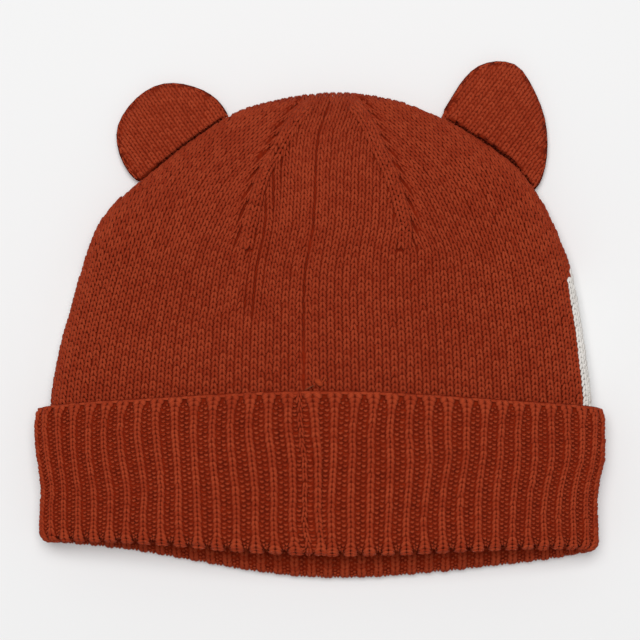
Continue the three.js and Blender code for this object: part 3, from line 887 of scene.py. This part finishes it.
# The ribs are wider spaced at the middle of the back, and widest beside its seam.
SEAM_X = -3.1
RIB_PITCH = 5.1  # at the side folds
WIDER_MIDDLE = 1.1
WIDER_SEAM = 2.9
SEAM_REACH = 4  # to either side
HALF_WIDTH = 90
MIDWAY = -50.0  # height at which the pitch is measured out
turns = np.linspace(0, 360, 3601)
round_cuff = cuff_skin(turns, MIDWAY, LAYERS_MIDDLE + RIM_RADIUS) / MM
paces = np.linalg.norm(np.diff(round_cuff, axis=0), axis=1)
x = (round_cuff[1:, 0] + round_cuff[:-1, 0]) / 2
pitch = RIB_PITCH + WIDER_MIDDLE * (1 - (x / HALF_WIDTH) ** 2)
pitch = pitch + WIDER_SEAM * np.exp(-(((x - SEAM_X) / SEAM_REACH) ** 4))
on_back = turns[1:] <= 180
back_ribs = (paces / pitch)[on_back].sum()
front_pitch = paces[~on_back].sum() / (RIBS - back_ribs)
rib_place = np.concatenate([[0], np.cumsum(paces / np.where(on_back, pitch, front_pitch))])
rib_place -= np.interp(-SEAM_X, -round_cuff[:1800, 0], rib_place[:1800])


def turn_at(phase):
    """Where round the hat a rib lies. Whole numbers are the knit columns, and 0 is the seam's."""
    start = rib_place[0]
    return np.interp((np.asarray(phase) - start) % RIBS + start, rib_place, turns)


OUTER_ROWS = 31  # courses on the outer layer
RIM_TURN_ROWS = 7  # courses round the rim
INNER_ROWS = 12  # courses inside the band
CUFF_COURSE = 1.62
LEAN = 0.42  # of a rib, by which the ribs at the middle of the back lean, from free edge to rim
LEAN_REACH = 7  # ribs to either side, over which the lean fades
WAVE = 0.05  # of a rib, by which the ribs wander
PIT_DEEP = 0.8  # how far the purl columns are drawn in where they turn round the rim
PIT_DEEP_FRONT = -0.15  # on the front, where they stand out a little instead
PIT_AT = 0.62  # of the rim's turn, where they are drawn in most
PIT_WIDE = 0.3
EDGE_ROLL = 0.9  # how far the free edge rolls in
ROLL_FROM = 0.94  # of the outer layer's height
FREE_INSET = 0.8  # of the last course from the free edge
INNER_DEPTH = 0.45  # of the ribs' depth that is left inside the band


def cuff_place(phase, row, deep):
    """A place of the rib's surface. Rows are counted from inside the band, round the rim and up."""
    phase, row, deep = np.broadcast_arrays(*(np.asarray(v, float) for v in (phase, row, deep)))
    outer = np.clip((row - INNER_ROWS - RIM_TURN_ROWS) / OUTER_ROWS, 0, None)
    leaning = LEAN * (1 - np.minimum(outer, 1)) * np.exp(-((phase / LEAN_REACH) ** 2))
    waving = WAVE * np.sin(7 * outer + 0.9 * phase) * np.minimum(1, 6 * outer)
    turn = turn_at(phase - leaning + waving)
    rim, free = edge_at("rim", turn), edge_at("free", turn)
    arc = np.clip((row - INNER_ROWS) / RIM_TURN_ROWS, 0, 1)
    depth = np.where(turn <= 180, PIT_DEEP, PIT_DEEP_FRONT)
    drawn_in = np.where(deep > 0.3, depth * np.exp(-(((arc - PIT_AT) / PIT_WIDE) ** 2)), 0)
    felt = np.where(outer > 0, 1, INNER_DEPTH + (1 - INNER_DEPTH) * arc)
    radius = RIM_RADIUS - deep * felt - drawn_in
    radius = radius - EDGE_ROLL * np.clip((outer - ROLL_FROM) / (1 - ROLL_FROM), 0, 1) ** 2
    off = LAYERS_MIDDLE - radius * np.cos(arc * np.pi)
    y = rim + RIM_RADIUS - radius * np.sin(arc * np.pi)
    y = y + np.maximum(0, INNER_ROWS - row) * CUFF_COURSE
    y = y + outer * (free - FREE_INSET - rim - RIM_RADIUS)
    return cuff_skin(turn, y, off)


KNIT_HALF = 0.235  # half a knit column's width, as a share of the ribs' spacing
RIB_DEEP = 0.54  # how far the purl columns lie under the knit ones
RIM_WIDER = 0.17  # how much wider a knit column is at the rim, and on the front
RIM_WIDER_FRONT = 0.07
FAN_ROWS = 4.2  # over which the knit columns open out below the free edge
top_row = INNER_ROWS + RIM_TURN_ROWS + OUTER_ROWS


def widening(row, phase):
    """How much a knit column is wider, on either side, at the rim and at the free edge."""
    at_rim = RIM_WIDER if turn_at(phase) <= 180 else RIM_WIDER_FRONT
    at_rim = at_rim * np.clip((INNER_ROWS + RIM_TURN_ROWS + 1.5 - row) / 3, 0, 1)
    at_edge = np.clip((row - top_row + FAN_ROWS) / FAN_ROWS, 0, 1) ** 2
    return at_rim + (0.5 - KNIT_HALF) * at_edge


def rib_cells(start, end, deep, wider, raised=0.0):
    """Cells up one column, between two phases."""
    rows = np.arange(top_row + 1 - math.ceil(raised)) + raised
    wide = wider * widening(rows, (start + end) / 2)
    start, end = start - wide, end + wide
    left, right = cuff_place(end, rows, deep), cuff_place(start, rows, deep)
    cells = np.stack([left[:-1], right[:-1], left[1:], right[1:]], 1)
    return cells[(end - start)[1:] > 0.2]


cuff_yarn = yarn_material("cuff_yarn", (0.402, 0.057, 0.0175), (0.226, 0.0145, 0.0014))
RIB_CELL = (2.9 * MM, CUFF_COURSE * MM)
PURL_CELL = (1.5 * MM, CUFF_COURSE * MM)
rib_loop = loop_shape(RIB_CELL, spread=0.46, lean=-0.24, tilt=-0.2, wide=0.62, thick=0.5)


def bump_line(s):
    """The middle line of a purl bump: an arch across its cell."""
    return 0.9 * s, 0.35 + 0.35 * s * s, 0.4 - 0.5 * s * s


purl_bump = strand(bump_line, wide=0.54, thick=0.5, cell=PURL_CELL, segments=4, rings=4)
SEAM_KNIT = (-0.24, 0.12)  # the seam's own column
knit = {"back": [], "front": []}
purl = {"back": [], "front": []}
for rib in range(RIBS):
    face = "back" if turn_at(rib) <= 180 else "front"
    start, end = SEAM_KNIT if rib == 0 else (rib - KNIT_HALF, rib + KNIT_HALF)
    knit[face].append(rib_cells(start, end, 0.0, 1))
    if rib == 0:
        continue
    face = "back" if turn_at(rib + 0.5) <= 180 else "front"
    end = RIBS + SEAM_KNIT[0] if rib == RIBS - 1 else rib + 1 - KNIT_HALF
    start = rib + KNIT_HALF
    whole = rib_cells(start, end, RIB_DEEP, -1)
    above = rib_cells(start, end, RIB_DEEP, -1, 0.5)
    middle = (whole[:, 0] + whole[:, 1]) / 2, (whole[:, 2] + whole[:, 3]) / 2
    purl[face].append(np.stack([middle[0], whole[:, 1], middle[1], whole[:, 3]], 1))
    middle = (above[:, 0] + above[:, 1]) / 2, (above[:, 2] + above[:, 3]) / 2
    purl[face].append(np.stack([above[:, 0], middle[0], above[:, 2], middle[1]], 1))

# Beside the seam the loops are uneven: three columns, crowded and drawn about.
beside = [(0.12, 0.36, 0.8), (0.33, 0.58, 0.45), (0.54, 0.78, 0.8)]
crooked = [rib_cells(start, end, RIB_DEEP * deep, 0) for start, end, deep in beside]
outer = np.concatenate([crooked[0], crooked[2]])
lay("cuff_seam_purl", purl_bump, outer, cuff_yarn, jitter=0.16)
lay("cuff_seam_knit", rib_loop, crooked[1], cuff_yarn, jitter=0.16)
for face in ("back", "front"):
    lay(f"cuff_knit_{face}", rib_loop, np.concatenate(knit[face]), cuff_yarn)
    lay(f"cuff_purl_{face}", purl_bump, np.concatenate(purl[face]), cuff_yarn)

# The cast-on edge: a chain of loops along the free edge, three to a rib.
marks = np.arange(3 * RIBS + 1) / 3
low, high = (cuff_place(marks, row, 0.15) for row in (top_row - 0.3, top_row + 0.2))
chain = np.stack([low[:-1], high[:-1], low[1:], high[1:]], 1)
EDGE_CELL = (0.9 * MM, 1.9 * MM)
edge_loop = loop_shape(EDGE_CELL, spread=0.3, lean=-0.3, tilt=-0.2, wide=0.45, thick=0.42)
lay("cuff_edge_chain", edge_loop, chain, cuff_yarn)

# The cloth behind the ribs, one closed wall from inside the band, round the rim and up to the
# free edge, and back down between the layers. It is in the crown cloth's darker colour, painted
# shade between the loops.
WALL_POINTS_PER_RIB = 6
SHOWN_RINGS = 26


def hidden_rings(phase):
    """The wall's other rings, between the layers, as heights and distances off the body."""
    turn = turn_at(phase)
    rim, free = edge_at("rim", turn), edge_at("free", turn)
    joint = free - CROWN_HOLD
    rings = [(free - 0.4, 2.2), (free - 0.7, 1.4), (joint, 0.7), (rim + 10, 0.65), (rim + 4.2, 0.4)]
    rings += [(rim + 10, 0.05), (joint, 0.0), (joint, LAYERS_MIDDLE - RIM_RADIUS + 0.9)]
    return np.array([cuff_skin(turn, y, off) for y, off in rings])


columns = RIBS * WALL_POINTS_PER_RIB
phase = np.arange(columns + 1) / WALL_POINTS_PER_RIB
from_knit = np.abs((phase + 0.5) % 1 - 0.5)
deep = LOOP_RELIEF / MM + 0.05 + RIB_DEEP * np.clip((from_knit - KNIT_HALF + 0.05) / 0.1, 0, 1)
shown = np.linspace(0, top_row, SHOWN_RINGS)
rings = np.concatenate([cuff_place(phase[None], shown[:, None], deep[None]), hidden_rings(phase)])
rings = np.concatenate([rings, rings[:1]])
made = bmesh.new()
bmesh.ops.create_grid(made, x_segments=columns, y_segments=len(rings) - 1, size=1)
for vertex in made.verts:
    column = round((vertex.co.x + 1) / 2 * columns)
    ring = round((vertex.co.y + 1) / 2 * (len(rings) - 1))
    vertex.co = rings[ring, column]
bmesh.ops.remove_doubles(made, verts=made.verts, dist=0.005 * MM)
bmesh.ops.recalc_face_normals(made, faces=made.faces)
mesh = bpy.data.meshes.new("cuff_cloth")
made.to_mesh(mesh)
made.free()
mesh.shade_smooth()
cuff_cloth = piece("cuff_cloth", mesh, rust_back_shaded)
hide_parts("cuff")


# Thread ends at the foot of the back seam: the tack that holds the turned-up cuff, in a brighter
# orange, and a short tan end beside it.
def thread_end(name, points, radius, material):
    """A short bit of yarn along some points, with its radius, in MM."""
    made = bmesh.new()
    made.loops.layers.uv.new("yarn")
    bmesh.ops.create_uvsphere(made, u_segments=8, v_segments=16, radius=1, calc_uvs=True)
    points = np.array(points) * MM
    share = np.linspace(-1, 1, len(points))
    for vertex in made.verts:
        along = vertex.co.z
        middle = Vector([np.interp(along, share, points[:, k]) for k in range(3)])
        size = radius * MM * math.sqrt(max(0, 1 - along**4)) / max(1e-6, math.hypot(*vertex.co[:2]))
        vertex.co = middle + Vector((vertex.co.x * size, 0.4 * vertex.co.x * size, vertex.co.y * size))
    bmesh.ops.recalc_face_normals(made, faces=made.faces)
    mesh = bpy.data.meshes.new(name)
    made.to_mesh(mesh)
    made.free()
    mesh.shade_smooth()
    return piece(name, mesh, material)


tack_yarn = yarn_material("tack_yarn", (0.46, 0.07, 0.018), (0.26, 0.025, 0.005))
tan_yarn = yarn_material("tan_yarn", (0.34, 0.13, 0.06), (0.2, 0.06, 0.025))
high = float(back_height(np.array(-0.8 * MM), np.array(-20.6 * MM))) / MM
knot = [(-1.4, -18.9, high), (-0.6, -20, high + 0.6), (0.6, -21.6, high + 0.4)]
tail = [(0.2, -21, high + 0.3), (1.2, -19.6, high + 0.5), (2, -18.2, high)]
tan = [(-2.2, -21.2, high + 0.6), (-3.4, -21.9, high + 1.5), (-4.9, -22.7, high + 1.6)]
thread_end("tack_knot", knot, 1.0, tack_yarn)
thread_end("tack_end", tail, 0.5, tack_yarn)
thread_end("tan_end", tan, 0.8, tan_yarn)


# Ears. Each is a small flat bag of the same knit, stuffed, and sewn on behind the crown's fold.
# Its columns of loops run outwards to the outline, where the stuffed bag closes their gaps. Sizes
# are in MM. The seat is where the middle column leaves the crown, and lean is its direction.
EARS = [
    {"node": "ear_left", "seat": (-44.9, 57.2), "lean": 126.5, "column": 2.35},
    {"node": "ear_right", "seat": (56.2, 56.3), "lean": 52.0, "column": 2.5},
]
EAR_COURSE = 1.5
EAR_HIDDEN = 5  # how far the loops go on behind the crown
EAR_ROLL = 0.3  # how far the loops stand out at the outline
EAR_COLUMNS = 10  # tried to either side of the seat
EAR_ROWS = 20  # tried outwards from it
PAD_AT_OUTLINE = 0.5  # how far the pad stands out at its outline
PAD_UNDER_LOOPS = 0.55  # how far it lies in under them elsewhere
CELL_LEAST = 0.35  # of a whole cell's area; smaller ones at the outline are left out
ear_yarn = yarn_material("ear_yarn", (0.40, 0.056, 0.018), (0.23, 0.018, 0.003))
# painted shade: the pad is coloured darker than the ear's yarn, for the shadow in the gaps between its
# loops
ear_back_shaded = back_cloth_material("ear_back_shaded", (0.26, 0.022, 0.004), (0.14, 0.011, 0.002))
EAR_CELL = (2.4 * MM, EAR_COURSE * MM)
ear_loop = loop_shape(EAR_CELL, spread=0.47, lean=-0.27, tilt=-0.2, wide=0.54, thick=0.42)
for ear in EARS:
    node = ear["node"]
    form = solid_tree(node)
    lean = math.radians(ear["lean"])
    out = np.array([math.cos(lean), math.sin(lean)])
    side = np.array([out[1], -out[0]])
    seat = np.array(ear["seat"]) * MM
    middle_height = node_triangles(node).reshape(-1, 3).mean(0)[2]

    def in_plan(column, row):
        return seat + side * column * ear["column"] * MM + out * row * EAR_COURSE * MM

    def on_ear(place, down):
        """The place of the ear's surface over or under a place in plan, or none."""
        start = Vector((*place, 0.05 if down else -0.05))
        return form.ray_cast(start, Vector((0, 0, -1 if down else 1)))[0]

    def at_outline(place):
        """For a place in plan past the ear, the place on its outline that is nearest."""
        beyond = Vector((*place, middle_height))
        nearest = form.find_nearest(beyond)[0]
        return nearest + (beyond - nearest).normalized() * EAR_ROLL * MM

    cells = []
    for down in (True, False):
        for column in range(-EAR_COLUMNS, EAR_COLUMNS):
            for row in range(-int(EAR_HIDDEN / EAR_COURSE), EAR_ROWS):
                plan = [in_plan(column + across, row + up) for up in (0, 1) for across in (0, 1)]
                found = [on_ear(place, down) for place in plan]
                if all(place is None for place in found):
                    continue
                found = [at_outline(p) if place is None else place for p, place in zip(plan, found)]
                spans = np.array([tuple(place) for place in found])
                area = np.linalg.norm(np.cross(spans[3] - spans[0], spans[2] - spans[1])) / 2
                if area < CELL_LEAST * ear["column"] * EAR_COURSE * MM * MM:
                    continue
                if not down:
                    found = [found[k] for k in (1, 0, 3, 2)]
                cells.append([tuple(f) for f in found])
    lay(node + "_loops", ear_loop, cells, ear_yarn)

    pad_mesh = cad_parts[node].data.copy()
    pad_mesh.name = node + "_pad"
    made = bmesh.new()
    made.from_mesh(pad_mesh)
    bmesh.ops.remove_doubles(made, verts=made.verts, dist=0.01 * MM)
    made.normal_update()
    for vertex in made.verts:
        faces_crown = vertex.normal.x * out[0] + vertex.normal.y * out[1] < -0.5
        edgewise = 0 if faces_crown else (1 - abs(vertex.normal.z)) ** 5
        out_by = PAD_AT_OUTLINE * edgewise - PAD_UNDER_LOOPS * (1 - edgewise)
        vertex.co += vertex.normal * out_by * MM
    made.to_mesh(pad_mesh)
    made.free()
    pad_mesh.materials.clear()
    pad_mesh.shade_smooth()
    pad = piece(node + "_pad", pad_mesh, ear_back_shaded)
    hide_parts(node)


# Table, light and camera: a pale table top, soft light from the upper left, and the camera
# straight above the hat.
floor_mesh = bpy.data.meshes.new("table_top")
made = bmesh.new()
bmesh.ops.create_grid(made, x_segments=1, y_segments=1, size=1.5)
made.to_mesh(floor_mesh)
made.free()
table_top = bpy.data.objects.new("table_top", floor_mesh)
bpy.context.scene.collection.objects.link(table_top)
paper = bpy.data.materials.new("white_table")
paper.use_nodes = True
paper_shader = paper.node_tree.nodes["Principled BSDF"]
paper_shader.inputs["Base Color"].default_value = (0.86, 0.86, 0.86, 1)
paper_shader.inputs["Roughness"].default_value = 0.9
paper_shader.inputs["Specular IOR Level"].default_value = 0.0
floor_mesh.materials.append(paper)

world = bpy.data.worlds.new("soft_sky")
world.use_nodes = True
world.node_tree.nodes["Background"].inputs["Color"].default_value = (1, 1, 1, 1)
world.node_tree.nodes["Background"].inputs["Strength"].default_value = 0.28
bpy.context.scene.world = world


def lamp(name, light, heading):
    made = bpy.data.objects.new(name, light)
    made.rotation_euler = Vector(heading).to_track_quat("-Z", "Y").to_euler()
    bpy.context.scene.collection.objects.link(made)
    return made


SOFTBOX_PLACE = (-0.05, 0.26, 1.5)
softbox = bpy.data.lights.new("softbox", "AREA")
softbox.size = 0.8
softbox.energy = 14.9
lamp("softbox", softbox, -Vector(SOFTBOX_PLACE)).location = SOFTBOX_PLACE
window = bpy.data.lights.new("window", "SUN")
window.energy = 0.58
window.angle = math.radians(25)
lamp("window", window, (0.05, -0.3, -1.5))

camera_data = bpy.data.cameras.new("above")
camera_data.lens = 151.9
camera_data.sensor_width = 36
camera = bpy.data.objects.new("above", camera_data)
camera.location = (0, 0, 0.909)
bpy.context.scene.collection.objects.link(camera)
bpy.context.scene.camera = camera
bpy.context.scene.view_settings.view_transform = "Standard"
